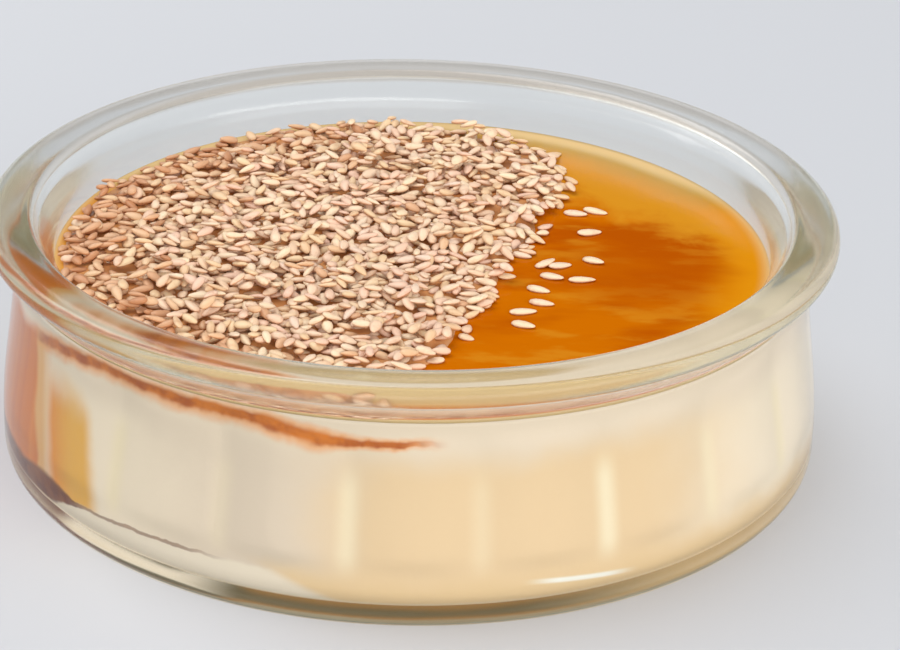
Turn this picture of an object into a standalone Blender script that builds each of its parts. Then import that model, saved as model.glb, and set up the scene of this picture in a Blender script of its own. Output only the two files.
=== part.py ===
"""Creme brulee in its pressed-glass ramekin, with a caramel pool and a bed of sesame.

Four closed solids, one inside the other: the glass ramekin, the custard that fills
it, the caramel that lies in the custard's shallow dish, and the sesame bed on top.
The model stands on the XY plane with the ramekin's axis on Z.
Lengths below are in millimetres; the mesh is made in metres.
"""
import math

import bmesh
import bpy

MM = 0.001
PART_NAME = "creme_brulee"
MERGE_M = 0.00001
GAP = 0.3  # between solids that touch in life

# Ramekin, radii from the axis and heights above the table
HEIGHT = 29.4
LIP_EDGE_Z = 29.15
LIP_INNER_R = 43.4
LIP_INNER_ROUND = 1.0
RIM_R = 49.0
RIM_ROUND = 1.3
BEAD_TURN = 55.0  # degrees that the bead turns below its widest line
NECK_R = 45.85
NECK_Z = 24.1
NECK_POWER = 1.5
NECK_STEPS = (0.62, 0.3, 0.0)  # shares of the way from the neck up to the bead
BELLY_R = 47.7
BELLY_Z = 4.5
FOOT_ROUND = 2.4

# Inside of the ramekin
FLOOR_Z = 1.7
FLOOR_ROUND = 2.4
BOWL_LOW_R = 44.4
BOWL_NECK_R = 41.3
BOWL_NECK_Z = 22.7
FLARE_Z = 24.3
FLARE_POWER = 2

# Upright flutes pressed into the inside wall
FLUTES = 20
FLUTE_DEPTH = 0.6
FLUTE_BOTTOM_Z = 5.4
FLUTE_TOP_Z = 21.3
FLUTE_FADE = 2.4
FLUTE_SHIFT = math.radians(10.8)
WALL_STEPS = FLUTES * 5

# What fills the bowl
CUSTARD_EDGE_Z = 21.9
CUSTARD_DISH = 1.2  # how much lower the custard's middle lies than its edge
DISH_POWER = 4.0
DISH_RINGS = (0.0, 20.0, 30.0, 37.0)  # radii of the rings that draw the dish's curve
CARAMEL_TOP_Z = 22.8
CARAMEL_STEPS = 40

# Sesame bed: it covers the left two thirds, up to a border that slants across
BED_CENTRE = (-12.0, 2.0)
BED_WALL_R = 40.6
BED_HEIGHT = 1.2
BED_BORDER_X = 13.0
BED_BORDER_SLANT = 0.30
BED_BACK_PULL = 14.0
BED_FRONT_PULL = 3.0
BED_HALF_LENGTH = 36.0
BED_PULL_POWER = 6
BED_RAGGED = ((0.8, 0.42, 0.0), (0.4, 0.85, 1.0))  # the border's waves: height, turn per mm, start
BED_EDGE = 0.1  # share of its reach over which the bed's top rounds down
BED_EDGE_TURNS = (30.0, 60.0, 90.0)
BED_STEPS = 54
BED_RINGS = 6
BED_LUMP = 0.2
BED_FINE_SHARE = 0.6
HALVINGS = 24


def ease(t):
    """Smooth step from 0 to 1."""
    t = min(max(t, 0.0), 1.0)
    return t * t * (3.0 - 2.0 * t)


def arc(centre_r, centre_z, radius, start, end, steps):
    """Points of a round corner in the profile, from one angle to another in degrees."""
    turn = [math.radians(start + (end - start) * i / steps) for i in range(steps + 1)]
    return [(centre_r + radius * math.cos(a), centre_z + radius * math.sin(a)) for a in turn]


def bowl_radius(z):
    """Inside radius of the bowl at a height: nearly upright, then flared to the lip."""
    rise = ease((z - FLOOR_Z - FLOOR_ROUND) / (BOWL_NECK_Z - FLOOR_Z - FLOOR_ROUND))
    flare = max(0.0, (z - FLARE_Z) / (LIP_EDGE_Z - LIP_INNER_ROUND - FLARE_Z))
    return BOWL_LOW_R + (BOWL_NECK_R - BOWL_LOW_R) * rise + (LIP_INNER_R - BOWL_NECK_R) * flare ** FLARE_POWER


def body_radius(z):
    """Outside radius of the wall below the neck: it swells towards the foot."""
    return NECK_R + (BELLY_R - NECK_R) * ease((NECK_Z - z) / (NECK_Z - BELLY_Z))


def heights(low, high, steps):
    """Evenly spaced heights from low to high, both included."""
    return [low + (high - low) * i / steps for i in range(steps + 1)]


def glass_profile():
    """Half section of the ramekin, from the middle of its floor round to its underside."""
    wall_foot = FLOOR_Z + FLOOR_ROUND
    lip_low = LIP_EDGE_Z - LIP_INNER_ROUND
    rim_z = LIP_EDGE_Z - RIM_ROUND
    points = [(0.0, FLOOR_Z)]
    points += arc(BOWL_LOW_R - FLOOR_ROUND, wall_foot, FLOOR_ROUND, -90, 0, 4)
    points += [(bowl_radius(z), z) for z in heights(wall_foot, lip_low, 7)[1:-1]]
    points += arc(LIP_INNER_R + LIP_INNER_ROUND, lip_low, LIP_INNER_ROUND, 180, 90, 2)
    points.append(((LIP_INNER_R + RIM_R) / 2, HEIGHT))
    points += arc(RIM_R - RIM_ROUND, rim_z, RIM_ROUND, 90, 0, 3)
    bead_turn = arc(RIM_R - RIM_ROUND, rim_z, RIM_ROUND, 0, -BEAD_TURN, 2)
    points += bead_turn[1:]
    tuck_r, tuck_z = bead_turn[-1]
    for t in NECK_STEPS:
        points.append((NECK_R + (tuck_r - NECK_R) * t ** NECK_POWER, NECK_Z + (tuck_z - NECK_Z) * t))
    points += [(body_radius(z), z) for z in heights(NECK_Z, BELLY_Z, 4)[1:]]
    points += arc(BELLY_R - FOOT_ROUND, FOOT_ROUND, FOOT_ROUND, 0, -90, 3)
    points.append((0.0, 0.0))
    return points


def custard_top(radius):
    """Height of the custard's top: a shallow dish that holds the caramel."""
    edge = BOWL_NECK_R - GAP
    return CUSTARD_EDGE_Z - CUSTARD_DISH * (1.0 - (radius / edge) ** DISH_POWER)


def custard_profile():
    """Half section of the custard, from the middle of its top round to its underside."""
    wall_foot = FLOOR_Z + FLOOR_ROUND
    edge = bowl_radius(CUSTARD_EDGE_Z) - GAP
    points = [(radius, custard_top(radius)) for radius in (*DISH_RINGS, edge)]
    points += [(bowl_radius(z) - GAP, z) for z in heights(CUSTARD_EDGE_Z, wall_foot, 5)[1:]]
    points += arc(BOWL_LOW_R - FLOOR_ROUND, wall_foot, FLOOR_ROUND - GAP, 0, -90, 3)[1:]
    points.append((0.0, FLOOR_Z + GAP))
    return points


def caramel_profile():
    """Half section of the caramel: level on top, following the custard below."""
    edge = BOWL_NECK_R - GAP
    points = [(0.0, CARAMEL_TOP_Z), (edge, CARAMEL_TOP_Z)]
    points += [(radius, custard_top(radius) + GAP) for radius in (edge, *reversed(DISH_RINGS))]
    return points


def turned(name, profile, steps, collection):
    """A solid of revolution: the profile is screwed once round Z and kept as a mesh."""
    guide = bpy.data.meshes.new(name + "_profile")
    corners = [(r * MM, 0.0, z * MM) for r, z in profile]
    guide.from_pydata(corners, [(i, i + 1) for i in range(len(corners) - 1)], [])
    lathe = bpy.data.objects.new(name, guide)
    collection.objects.link(lathe)
    screw = lathe.modifiers.new("turn", "SCREW")
    screw.axis = "Z"
    screw.angle = math.tau
    screw.steps = steps
    screw.render_steps = steps
    screw.use_merge_vertices = True
    screw.merge_threshold = MERGE_M
    seen = lathe.evaluated_get(bpy.context.evaluated_depsgraph_get())
    lathe.data = bpy.data.meshes.new_from_object(seen)
    lathe.modifiers.clear()
    bpy.data.meshes.remove(guide)
    weld(lathe.data)
    return lathe


def weld(mesh):
    """Closes the seam and the poles of a turned mesh."""
    work = bmesh.new()
    work.from_mesh(mesh)
    bmesh.ops.remove_doubles(work, verts=work.verts, dist=MERGE_M)
    work.to_mesh(mesh)
    work.free()


def flute_bulge(angle, z):
    """How far a flute pushes the bowl's inside wall outwards at this place."""
    across = abs(math.sin((angle - FLUTE_SHIFT) * FLUTES / 2.0))
    up = ease((z - FLUTE_BOTTOM_Z) / FLUTE_FADE) * ease((FLUTE_TOP_Z - z) / FLUTE_FADE)
    return FLUTE_DEPTH * across * up


def press_flutes(piece, outermost):
    """Presses the flutes into every point of a turned piece that lies on the bowl's wall."""
    for vertex in piece.data.vertices:
        x, y, z = (value / MM for value in vertex.co)
        radius = math.hypot(x, y)
        if BOWL_NECK_R - 2 * GAP < radius < outermost:
            angle = math.atan2(y, x)
            grown = (radius + flute_bulge(angle, z)) / radius
            vertex.co.x *= grown
            vertex.co.y *= grown


def bed_border(y):
    """X of the sesame bed's right-hand border at this y."""
    back = max(0.0, y / BED_HALF_LENGTH) ** BED_PULL_POWER
    front = max(0.0, -y / BED_HALF_LENGTH) ** BED_PULL_POWER
    ragged = sum(height * math.sin(turn * y + start) for height, turn, start in BED_RAGGED)
    return BED_BORDER_X + BED_BORDER_SLANT * y + ragged - BED_BACK_PULL * back - BED_FRONT_PULL * front


def bed_reach(angle):
    """Distance from the bed's centre to its outline, found by halving."""
    near, far = 0.0, 2.0 * BED_WALL_R
    for _ in range(HALVINGS):
        middle = (near + far) / 2.0
        x = BED_CENTRE[0] + middle * math.cos(angle)
        y = BED_CENTRE[1] + middle * math.sin(angle)
        if math.hypot(x, y) < BED_WALL_R and x < bed_border(y):
            near = middle
        else:
            far = middle
    return near


def bed_lumps(x, y):
    """Uneven top of the sesame bed."""
    broad = math.sin(0.31 * x + 0.7) * math.sin(0.27 * y + 0.4)
    fine = math.sin(0.9 * x - 0.4 * y) * math.sin(0.8 * y + 0.5 * x)
    return BED_LUMP * (broad + BED_FINE_SHARE * fine)


def bed_profile():
    """Half section of the sesame bed before it is drawn out to its outline."""
    flat = [1.0 - BED_EDGE] + [(1.0 - BED_EDGE) * i / BED_RINGS for i in range(BED_RINGS - 1, -1, -1)]
    turns = [math.radians(a) for a in BED_EDGE_TURNS]
    points = [(share, 1.0) for share in reversed(flat)]
    points += [(1.0 - BED_EDGE * (1.0 - math.sin(a)), math.cos(a)) for a in turns]
    points.append((0.0, 0.0))
    return [(share * BED_WALL_R, level * BED_HEIGHT) for share, level in points]


def sesame_bed(collection):
    """The sesame bed: a thin turned cushion, drawn out to the bed's uneven outline."""
    base = CARAMEL_TOP_Z + GAP
    bed = turned("sesame_heap", bed_profile(), BED_STEPS, collection)
    for vertex in bed.data.vertices:
        angle = math.atan2(vertex.co.y, vertex.co.x)
        reach = bed_reach(angle) * math.hypot(vertex.co.x, vertex.co.y) / (BED_WALL_R * MM)
        level = vertex.co.z / (BED_HEIGHT * MM)
        x = BED_CENTRE[0] + reach * math.cos(angle)
        y = BED_CENTRE[1] + reach * math.sin(angle)
        vertex.co = (x * MM, y * MM, (base + level * (BED_HEIGHT + bed_lumps(x, y))) * MM)
    return bed


def material(name, colour, roughness, transmission=0.0):
    """A Principled material in one colour."""
    made = bpy.data.materials.new(name)
    made.use_nodes = True
    shader = made.node_tree.nodes["Principled BSDF"]
    shader.inputs["Base Color"].default_value = (*colour, 1.0)
    shader.inputs["Roughness"].default_value = roughness
    shader.inputs["Metallic"].default_value = 0.0
    shader.inputs["Transmission Weight"].default_value = transmission
    return made


def finish(piece, look, sharp_angle=40.0):
    """Gives a solid its material and smooth shading with crisp corners kept."""
    piece.data.materials.clear()
    piece.data.materials.append(look)
    piece.data.shade_smooth()
    piece.data.set_sharp_from_angle(angle=math.radians(sharp_angle))


def main():
    for old in list(bpy.data.objects):
        bpy.data.objects.remove(old, do_unlink=True)
    part = bpy.data.collections.new(PART_NAME)
    bpy.context.scene.collection.children.link(part)

    glass = turned("glass_ramekin", glass_profile(), WALL_STEPS, part)
    press_flutes(glass, outermost=BOWL_LOW_R + 0.1)
    finish(glass, material("clear_glass", (0.93, 0.96, 0.94), 0.03, transmission=1.0))

    custard = turned("custard", custard_profile(), WALL_STEPS, part)
    press_flutes(custard, outermost=BOWL_LOW_R)
    finish(custard, material("baked_custard", (0.93, 0.78, 0.54), 0.45))

    caramel = turned("caramel", caramel_profile(), CARAMEL_STEPS, part)
    finish(caramel, material("liquid_caramel", (0.62, 0.20, 0.02), 0.08))

    bed = sesame_bed(part)
    finish(bed, material("toasted_sesame", (0.80, 0.58, 0.36), 0.5))


main()
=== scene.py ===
"""Looks of a creme brulee in its pressed-glass ramekin: fluted clear glass, baked custard,
a pool of liquid caramel and a bed of toasted sesame seeds.

Lengths are in millimetres until a mesh is made, and in metres in Blender.
Turns round the dish are in degrees from the front (-Y), positive to the right (+X).
"""

import math
from types import SimpleNamespace

import bmesh
import bpy
import numpy as np
from mathutils import Matrix, Vector


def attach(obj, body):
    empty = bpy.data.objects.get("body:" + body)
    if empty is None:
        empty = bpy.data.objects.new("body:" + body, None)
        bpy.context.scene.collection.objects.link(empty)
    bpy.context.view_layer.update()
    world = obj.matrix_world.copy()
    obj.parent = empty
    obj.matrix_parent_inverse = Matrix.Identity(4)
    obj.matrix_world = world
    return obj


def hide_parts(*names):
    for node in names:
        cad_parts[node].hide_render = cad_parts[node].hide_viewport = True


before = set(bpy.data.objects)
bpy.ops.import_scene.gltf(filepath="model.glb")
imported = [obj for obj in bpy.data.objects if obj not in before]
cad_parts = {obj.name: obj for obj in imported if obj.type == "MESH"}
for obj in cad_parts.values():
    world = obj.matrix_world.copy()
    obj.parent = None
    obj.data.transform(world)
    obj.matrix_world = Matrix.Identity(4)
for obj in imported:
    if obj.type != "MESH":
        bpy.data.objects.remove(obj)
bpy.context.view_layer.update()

MM = 0.001
MERGE_M = 0.00001  # points closer than this are one point
BLACK = (0.0, 0.0, 0.0, 1.0)
ROOT = "root"
SEED = 41

# Ramekin, radii from the axis and heights above the table
HEIGHT = 29.4
LIP_EDGE_Z = 29.15
LIP_INNER_R = 43.4
LIP_INNER_ROUND = 1.0
RIM_R = 49.0
RIM_ROUND = 1.3
BEAD_TURN = 55.0  # degrees that the bead turns on under the rim
NECK_R = 45.85
NECK_Z = 24.1
NECK_POWER = 1.5  # how sharply the tuck under the rim closes in to the neck
BELLY_R = 47.7
BELLY_Z = 4.5
FOOT_ROUND = 2.4

# Inside of the ramekin
FLOOR_Z = 1.7
FLOOR_ROUND = 2.4
BOWL_LOW_R = 44.4
BOWL_NECK_R = 41.3
BOWL_NECK_Z = 22.7
FLARE_Z = 24.3
FLARE_POWER = 2

# Flutes pressed into the bowl
FLUTES = 20
FLUTE_DEPTH = 0.6
FLUTE_BOTTOM_Z = 5.4
FLUTE_TOP_Z = 21.3
FLUTE_FADE = 2.4
FLUTE_SHIFT = math.radians(10.8)
WALL_STEPS = FLUTES * 18
GLASS_PRESS_R = BOWL_LOW_R + 0.1  # only what lies inside this radius is pressed
CUSTARD_PRESS_R = BOWL_LOW_R + 1.0

# Custard and caramel
INTO_GLASS = 0.06  # how far the contents reach into the wall, so that no air shows
CUSTARD_EDGE_Z = 21.9
CUSTARD_DISH = 1.2
DISH_POWER = 4.0
CUSTARD_LINE_Z = 22.65  # where the custard meets the glass
CARAMEL_TOP_Z = 22.8
CARAMEL_RISE = 0.25  # how far the caramel climbs the glass
CUSTARD_DISHED_R = 39.0  # outside this the custard turns up to the glass
CUSTARD_TURN_R = 40.2
CUSTARD_LIP = 0.25  # width of the custard's thin edge at the glass
CARAMEL_LEVEL_R = 38.0
CARAMEL_GAP = 0.02  # between the caramel and the custard
CARAMEL_STEPS = 160

# Bed of sesame: its right-hand border slants, is ragged, and is pulled in at the back and in front
BED_WALL_R = 41.1
BED_BORDER_X = 13.0
BED_BORDER_SLANT = 0.30
BED_BACK_PULL = 14.0
BED_FRONT_PULL = 3.0
BED_HALF_LENGTH = 36.0
BED_PULL_POWER = 6
BED_RAGGED = ((0.8, 0.42, 0.0), (0.4, 0.85, 1.0))
BED_WALL_DRAW_IN = 0.7  # how much shorter the bed stays of the wall in front
BED_FRONT_Y = -8.0  # where that starts, and over what length it grows
BED_FRONT_FADE = 12.0
BED_THIN = 0.3  # how deep the bed is at its border, and how much deeper in its middle
BED_HEAP = 0.6
BED_HEAP_INWARD = 2.0
BED_HEAP_R = 39.0
BED_HEAP_FADE = 10.0
BED_BARE = 0.13  # share of the bed where syrup shows between the seeds
BARE_DEPTH = 0.2  # a place with less than this on it counts as bare
MOST_SEEDS = 2780

# One seed, in mm, and how its place, slope and tone vary
SEED_LENGTH = 2.2
SEED_WIDTH = 1.2
SEED_THICKNESS = 0.62
SEED_SPREADS = (0.10, 0.09, 0.10)
SEED_SIDES = 7
SEED_RINGS = 6
SEED_TAPER = 0.22
SEED_TIP = 0.08
SEED_SINK = 0.12  # how far a seed settles into what is under it
SEED_SHIFT = 0.3
BED_JOLT = 0.10
BED_STEEPEST = 0.35
LOOSE_JOLT = 0.05
LOOSE_STEEPEST = 0.4
LOOSE_GROWTH = 1.3  # the seeds that lie alone are the larger ones
TONE = 0.68
TONE_SPREAD = 0.18
TONE_LOW = 0.12  # how much darker a seed is low in the bed, and where caramel has soaked in
TONE_SOAKED = 0.43
SOAKED_R = 26.0
SOAKED_X = 4.0
LOOSE_TONES = (0.75, 0.95)

# Core of the bed
CORE_MIDDLE = Vector((-12.0, 2.0))
CORE_FARTHEST = 90.0  # where the search for its edge starts
CORE_WALL_GAP = 0.2
CORE_BORDER_GAP = 1.2
CORE_RISE = 0.3
CORE_LIFT = 0.01
CORE_SINK = 0.3
CORE_ROUNDING = 8
CORE_RINGS = 14
CORE_STEPS = 96

# Camera, in mm and degrees
CAMERA_ELEVATION = 25.05
CAMERA_ROLL = 1.5
CAMERA_DISTANCE = 352.2
CAMERA_AIM = Vector((4.55, 0.0, 13.67))
CAMERA_LENS = 120.0
CAMERA_SENSOR = 36.0


# ---------------------------------------------------------------- node helpers

def feed(tree, socket, value):
    """Joins a socket to another one, or sets it to a value."""
    if isinstance(value, bpy.types.NodeSocket):
        tree.links.new(value, socket)
    else:
        socket.default_value = value


def place(tree, kind, inputs=None, **settings):
    """Adds a node, with its settings and what its sockets take."""
    node = tree.nodes.new(kind)
    for name, value in settings.items():
        setattr(node, name, value)
    for key, value in (inputs or {}).items():
        feed(tree, node.inputs[key], value)
    return node


def calc(tree, operation, *values):
    """A Math node on up to three values."""
    return place(tree, "ShaderNodeMath", dict(enumerate(values)), operation=operation).outputs[0]


def product(tree, *shares):
    """Multiplies shares together."""
    total = shares[0]
    for share in shares[1:]:
        total = calc(tree, "MULTIPLY", total, share)
    return total


def step(tree, value, low, high, at_low=0.0, at_high=1.0):
    """A smooth step of a value between two limits."""
    sockets = {"Value": value, "From Min": low, "From Max": high, "To Min": at_low, "To Max": at_high}
    node = place(tree, "ShaderNodeMapRange", sockets, interpolation_type="SMOOTHSTEP")
    return node.outputs["Result"]


def between(tree, value, low, high, soft):
    """1 between two limits, fading to 0 over a soft margin outside them."""
    return product(tree, step(tree, value, low - soft, low), step(tree, value, high, high + soft, 1.0, 0.0))


def linear(red, green, blue):
    """A display colour, 0 to 255, as a linear one."""
    shares = [value / 255.0 for value in (red, green, blue)]
    return (*[s / 12.92 if s <= 0.04045 else ((s + 0.055) / 1.055) ** 2.4 for s in shares], 1.0)


# Colours of the glass
CLEAR_GLASS = (0.985, 0.992, 0.985, 1.0)
# Warm tint painted into the glass, standing in for the caramel and custard seen refracted in the rim
PAINTED_REFRACTION_TINT = (0.80, 0.71, 0.61, 1.0)
GLASS_DEPTH = (0.62, 0.68, 0.56, 1.0)
GLASS_DENSITY = 24.0
TRAPPED_LIGHT = (0.105, 0.108, 0.086, 1.0)  # painted glow for rays deep in the glass, standing in for light that bounces on and on in the thick rim

# Colours of the custard, of what stains it and of the light and shade painted on it; above 255 is more
# light than a white surface gives
# Paler cream at both ends: painted light that makes up for the light falling off towards the custard's
# sides
CREAM_SIDE_PAINTED_LIGHT = linear(254, 235, 208)
CREAM_MID = linear(238, 218, 194)
CREAM_FRONT = linear(243, 211, 167)
CREAM_PALE = linear(243, 223, 198)
CREAM_LOW = linear(240, 207, 158)
# Painted highlight along the flute ridges
CREAM_RIDGE_HIGHLIGHT = linear(255, 236, 200)
CREAM_WHITE = linear(250, 234, 210)
CREAM_GLINT = linear(255, 252, 240)
# Painted glow on the custard's underside, standing in for light that reaches it through the foot
GLOW = linear(240, 220, 190)
GLOW_DIM = linear(168, 156, 134)
GLOW_UNSHADED = linear(284, 270, 252)
# Painted shade: the dark band that the thick glass foot shows, painted on the custard's underside
FOOT_SHADE_OLIVE = linear(98, 88, 50)
FOOT_SHADE_BROWN = linear(178, 130, 62)
FOOT_SHADE_TAN = linear(214, 184, 136)
STAIN_DEEP = linear(210, 92, 0)
STAIN_LIGHT = linear(244, 150, 34)
STAIN_AMBER = linear(244, 182, 74)
STAIN_LINE = linear(238, 180, 110)
STAIN_BROWN = linear(116, 50, 4)
STAIN_FOOT = linear(148, 80, 24)
SEEP = linear(222, 124, 26)
SEEP_DARK = linear(186, 90, 12)
SEEP_Z = 21.3

# Colours of the caramel, from deep to a film on the glass
CARAMEL_DEEP = linear(174, 78, 0)
CARAMEL = linear(194, 102, 0)
# Gold painted as sheen: the back wall's reflection and the caramel's glossy streaks
CARAMEL_GOLD_SHEEN = linear(204, 136, 30)
CARAMEL_EDGE = linear(170, 134, 52)
CARAMEL_THIN = linear(210, 134, 12)
CARAMEL_FILM = linear(212, 180, 126)
DARK_SPOT = (27.0, -4.0, 0.0)  # where the caramel is deepest, in mm

# Colours of the sesame, by the seed's tone, and of the syrup between the seeds
SEED_TONES = ((0.0, (190, 130, 88)), (0.25, (219, 172, 132)), (0.5, (231, 200, 158)),
              (0.63, (230, 190, 164)), (0.8, (238, 212, 176)), (1.0, (230, 200, 176)))
SEED_BLOTCH = linear(190, 134, 92)
SEED_UNDERSIDE_SHADE = linear(190, 126, 80)
SYRUP_DEEP = linear(186, 118, 64)
SYRUP_LIGHT = linear(222, 162, 104)


def new_group(name, kind, inputs, outputs):
    """A node group with named sockets, some with a default: its tree, input node and output node."""
    tree = bpy.data.node_groups.new(name, kind)
    for socket, socket_kind, *default in inputs:
        made = tree.interface.new_socket(socket, in_out="INPUT", socket_type="NodeSocket" + socket_kind)
        if default:
            made.default_value = default[0]
    for socket, socket_kind in outputs:
        tree.interface.new_socket(socket, in_out="OUTPUT", socket_type="NodeSocket" + socket_kind)
    return tree, tree.nodes.new("NodeGroupInput"), tree.nodes.new("NodeGroupOutput")


def use_group(tree, group, inputs=None):
    """Places a node group in a tree."""
    kind = "ShaderNodeGroup" if tree.bl_idname == "ShaderNodeTree" else "GeometryNodeGroup"
    node = tree.nodes.new(kind)
    node.node_tree = group
    for key, value in (inputs or {}).items():
        feed(tree, node.inputs[key], value)
    return node


def blend_colour(tree, share, first, second):
    """Mixes two colours by a share."""
    node = place(tree, "ShaderNodeMix", {"Factor": share}, data_type="RGBA", clamp_factor=True)
    feed(tree, node.inputs[6], first)
    feed(tree, node.inputs[7], second)
    return node.outputs[2]


def noise(tree, vector, scale, detail=2.0, roughness=0.5, distortion=0.0):
    """A noise value of about 0 to 1; the scale is per metre."""
    sockets = {"Vector": vector, "Scale": scale, "Detail": detail, "Roughness": roughness,
               "Distortion": distortion}
    return place(tree, "ShaderNodeTexNoise", sockets).outputs["Fac"]


# ---------------------------------------------------------------- shared effects

def round_place_group():
    """Where a point lies round the dish: turn from the front in degrees, height and reach in mm."""
    tree, given, result = new_group(
        "Round Place", "ShaderNodeTree", [("Vector", "Vector")],
        [("Turn", "Float"), ("Height", "Float"), ("Reach", "Float")])
    parts = place(tree, "ShaderNodeSeparateXYZ", {0: given.outputs["Vector"]})
    x, y, z = parts.outputs
    turn = calc(tree, "DEGREES", calc(tree, "ARCTAN2", x, calc(tree, "MULTIPLY", y, -1.0)))
    squares = calc(tree, "ADD", calc(tree, "MULTIPLY", x, x), calc(tree, "MULTIPLY", y, y))
    feed(tree, result.inputs["Turn"], turn)
    feed(tree, result.inputs["Height"], calc(tree, "DIVIDE", z, MM))
    feed(tree, result.inputs["Reach"], calc(tree, "DIVIDE", calc(tree, "SQRT", squares), MM))
    return tree


def mottle_group():
    """Two octaves of soft blotches round 0, for uneven colour and for shifting a mask's border."""
    tree, given, result = new_group(
        "Soft Mottle", "ShaderNodeTree",
        [("Vector", "Vector"), ("Broad Scale", "Float"), ("Fine Scale", "Float"),
         ("Fine Share", "Float", 0.35)],
        [("Blotch", "Float")])
    vector = given.outputs["Vector"]
    broad = calc(tree, "SUBTRACT", noise(tree, vector, given.outputs["Broad Scale"]), 0.5)
    fine = calc(tree, "SUBTRACT", noise(tree, vector, given.outputs["Fine Scale"]), 0.5)
    total = calc(tree, "MULTIPLY_ADD", fine, given.outputs["Fine Share"], broad)
    feed(tree, result.inputs["Blotch"], total)
    return tree


def fluted_wall_group():
    """Geometry Nodes: presses upright flutes into every point nearer the axis than the wall."""
    tree, given, result = new_group(
        "Fluted Wall", "GeometryNodeTree",
        [("Geometry", "Geometry"), ("Flutes", "Float"), ("Depth", "Float"), ("Shift", "Float"),
         ("Bottom", "Float"), ("Top", "Float"), ("Fade", "Float"), ("Wall Radius", "Float"),
         ("Material", "Material")],
        [("Geometry", "Geometry")])
    given = given.outputs
    position = place(tree, "GeometryNodeInputPosition").outputs[0]
    parts = place(tree, "ShaderNodeSeparateXYZ", {0: position})
    x, y, z = parts.outputs
    angle = calc(tree, "SUBTRACT", calc(tree, "ARCTAN2", y, x), given["Shift"])
    half_turns = calc(tree, "MULTIPLY", angle, calc(tree, "MULTIPLY", given["Flutes"], 0.5))
    across = calc(tree, "ABSOLUTE", calc(tree, "SINE", half_turns))
    rise = step(tree, z, given["Bottom"], calc(tree, "ADD", given["Bottom"], given["Fade"]))
    fall = step(tree, z, calc(tree, "SUBTRACT", given["Top"], given["Fade"]), given["Top"], 1.0, 0.0)
    flat = place(tree, "ShaderNodeCombineXYZ", {"X": x, "Y": y}).outputs[0]
    reach = place(tree, "ShaderNodeVectorMath", {0: flat}, operation="LENGTH").outputs["Value"]
    outward = place(tree, "ShaderNodeVectorMath", {0: flat}, operation="NORMALIZE").outputs[0]
    inside = calc(tree, "LESS_THAN", reach, given["Wall Radius"])
    push = product(tree, across, given["Depth"], calc(tree, "MULTIPLY", rise, fall), inside)
    offset = place(tree, "ShaderNodeVectorMath", {0: outward, "Scale": push}, operation="SCALE")
    moved = place(tree, "GeometryNodeSetPosition",
                  {"Geometry": given["Geometry"], "Offset": offset.outputs[0]})
    coated = place(tree, "GeometryNodeSetMaterial",
                   {"Geometry": moved.outputs[0], "Material": given["Material"]})
    feed(tree, result.inputs["Geometry"], coated.outputs[0])
    return tree


# ---------------------------------------------------------------- profiles

def ease(t):
    """Smooth step from 0 to 1."""
    t = min(max(t, 0.0), 1.0)
    return t * t * (3.0 - 2.0 * t)


def arc(centre_r, centre_z, radius, start, end, steps):
    """Points of a round corner in the profile, from one angle to another in degrees."""
    turn = [math.radians(start + (end - start) * i / steps) for i in range(steps + 1)]
    return [(centre_r + radius * math.cos(a), centre_z + radius * math.sin(a)) for a in turn]


def bowl_radius(z):
    """Inside radius of the bowl at a height: nearly upright, then flared to the lip."""
    rise = ease((z - FLOOR_Z - FLOOR_ROUND) / (BOWL_NECK_Z - FLOOR_Z - FLOOR_ROUND))
    flare = max(0.0, (z - FLARE_Z) / (LIP_EDGE_Z - LIP_INNER_ROUND - FLARE_Z))
    upright = BOWL_LOW_R + (BOWL_NECK_R - BOWL_LOW_R) * rise
    return upright + (LIP_INNER_R - BOWL_NECK_R) * flare ** FLARE_POWER


def body_radius(z):
    """Outside radius of the wall below the neck: it swells towards the foot."""
    return NECK_R + (BELLY_R - NECK_R) * ease((NECK_Z - z) / (NECK_Z - BELLY_Z))


def evenly(first, last, steps):
    """Evenly spaced values from the first to the last, both included."""
    return [first + (last - first) * i / steps for i in range(steps + 1)]


def rim_crown(steps):
    """The rim's slightly domed top, from the inner lip to the bead."""
    inner = LIP_INNER_R + LIP_INNER_ROUND
    outer = RIM_R - RIM_ROUND
    points = []
    for share in evenly(0.0, 1.0, steps)[1:-1]:
        points.append((inner + (outer - inner) * share,
                       LIP_EDGE_Z + (HEIGHT - LIP_EDGE_Z) * math.sin(math.pi * share)))
    return points


def glass_profile():
    """Half section of the ramekin, from the middle of its floor round to its underside."""
    wall_foot = FLOOR_Z + FLOOR_ROUND
    lip_low = LIP_EDGE_Z - LIP_INNER_ROUND
    rim_z = LIP_EDGE_Z - RIM_ROUND
    points = [(r, FLOOR_Z) for r in (0.0, 12.0, 24.0, 33.0)]
    points += arc(BOWL_LOW_R - FLOOR_ROUND, wall_foot, FLOOR_ROUND, -90, 0, 12)
    points += [(bowl_radius(z), z) for z in evenly(wall_foot, lip_low, 30)[1:-1]]
    points += arc(LIP_INNER_R + LIP_INNER_ROUND, lip_low, LIP_INNER_ROUND, 180, 90, 8)
    points += rim_crown(6)
    points += arc(RIM_R - RIM_ROUND, rim_z, RIM_ROUND, 90, 0, 9)
    turn = arc(RIM_R - RIM_ROUND, rim_z, RIM_ROUND, 0, -BEAD_TURN, 6)
    points += turn[1:]
    tuck_r, tuck_z = turn[-1]
    for share in evenly(1.0, 0.0, 10)[1:]:
        points.append((NECK_R + (tuck_r - NECK_R) * share ** NECK_POWER,
                       NECK_Z + (tuck_z - NECK_Z) * share))
    points += [(body_radius(z), z) for z in evenly(NECK_Z, BELLY_Z, 16)[1:]]
    points += arc(BELLY_R - FOOT_ROUND, FOOT_ROUND, FOOT_ROUND, 0, -90, 10)
    points += [(r, 0.0) for r in (30.0, 15.0, 0.0)]
    return points


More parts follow.
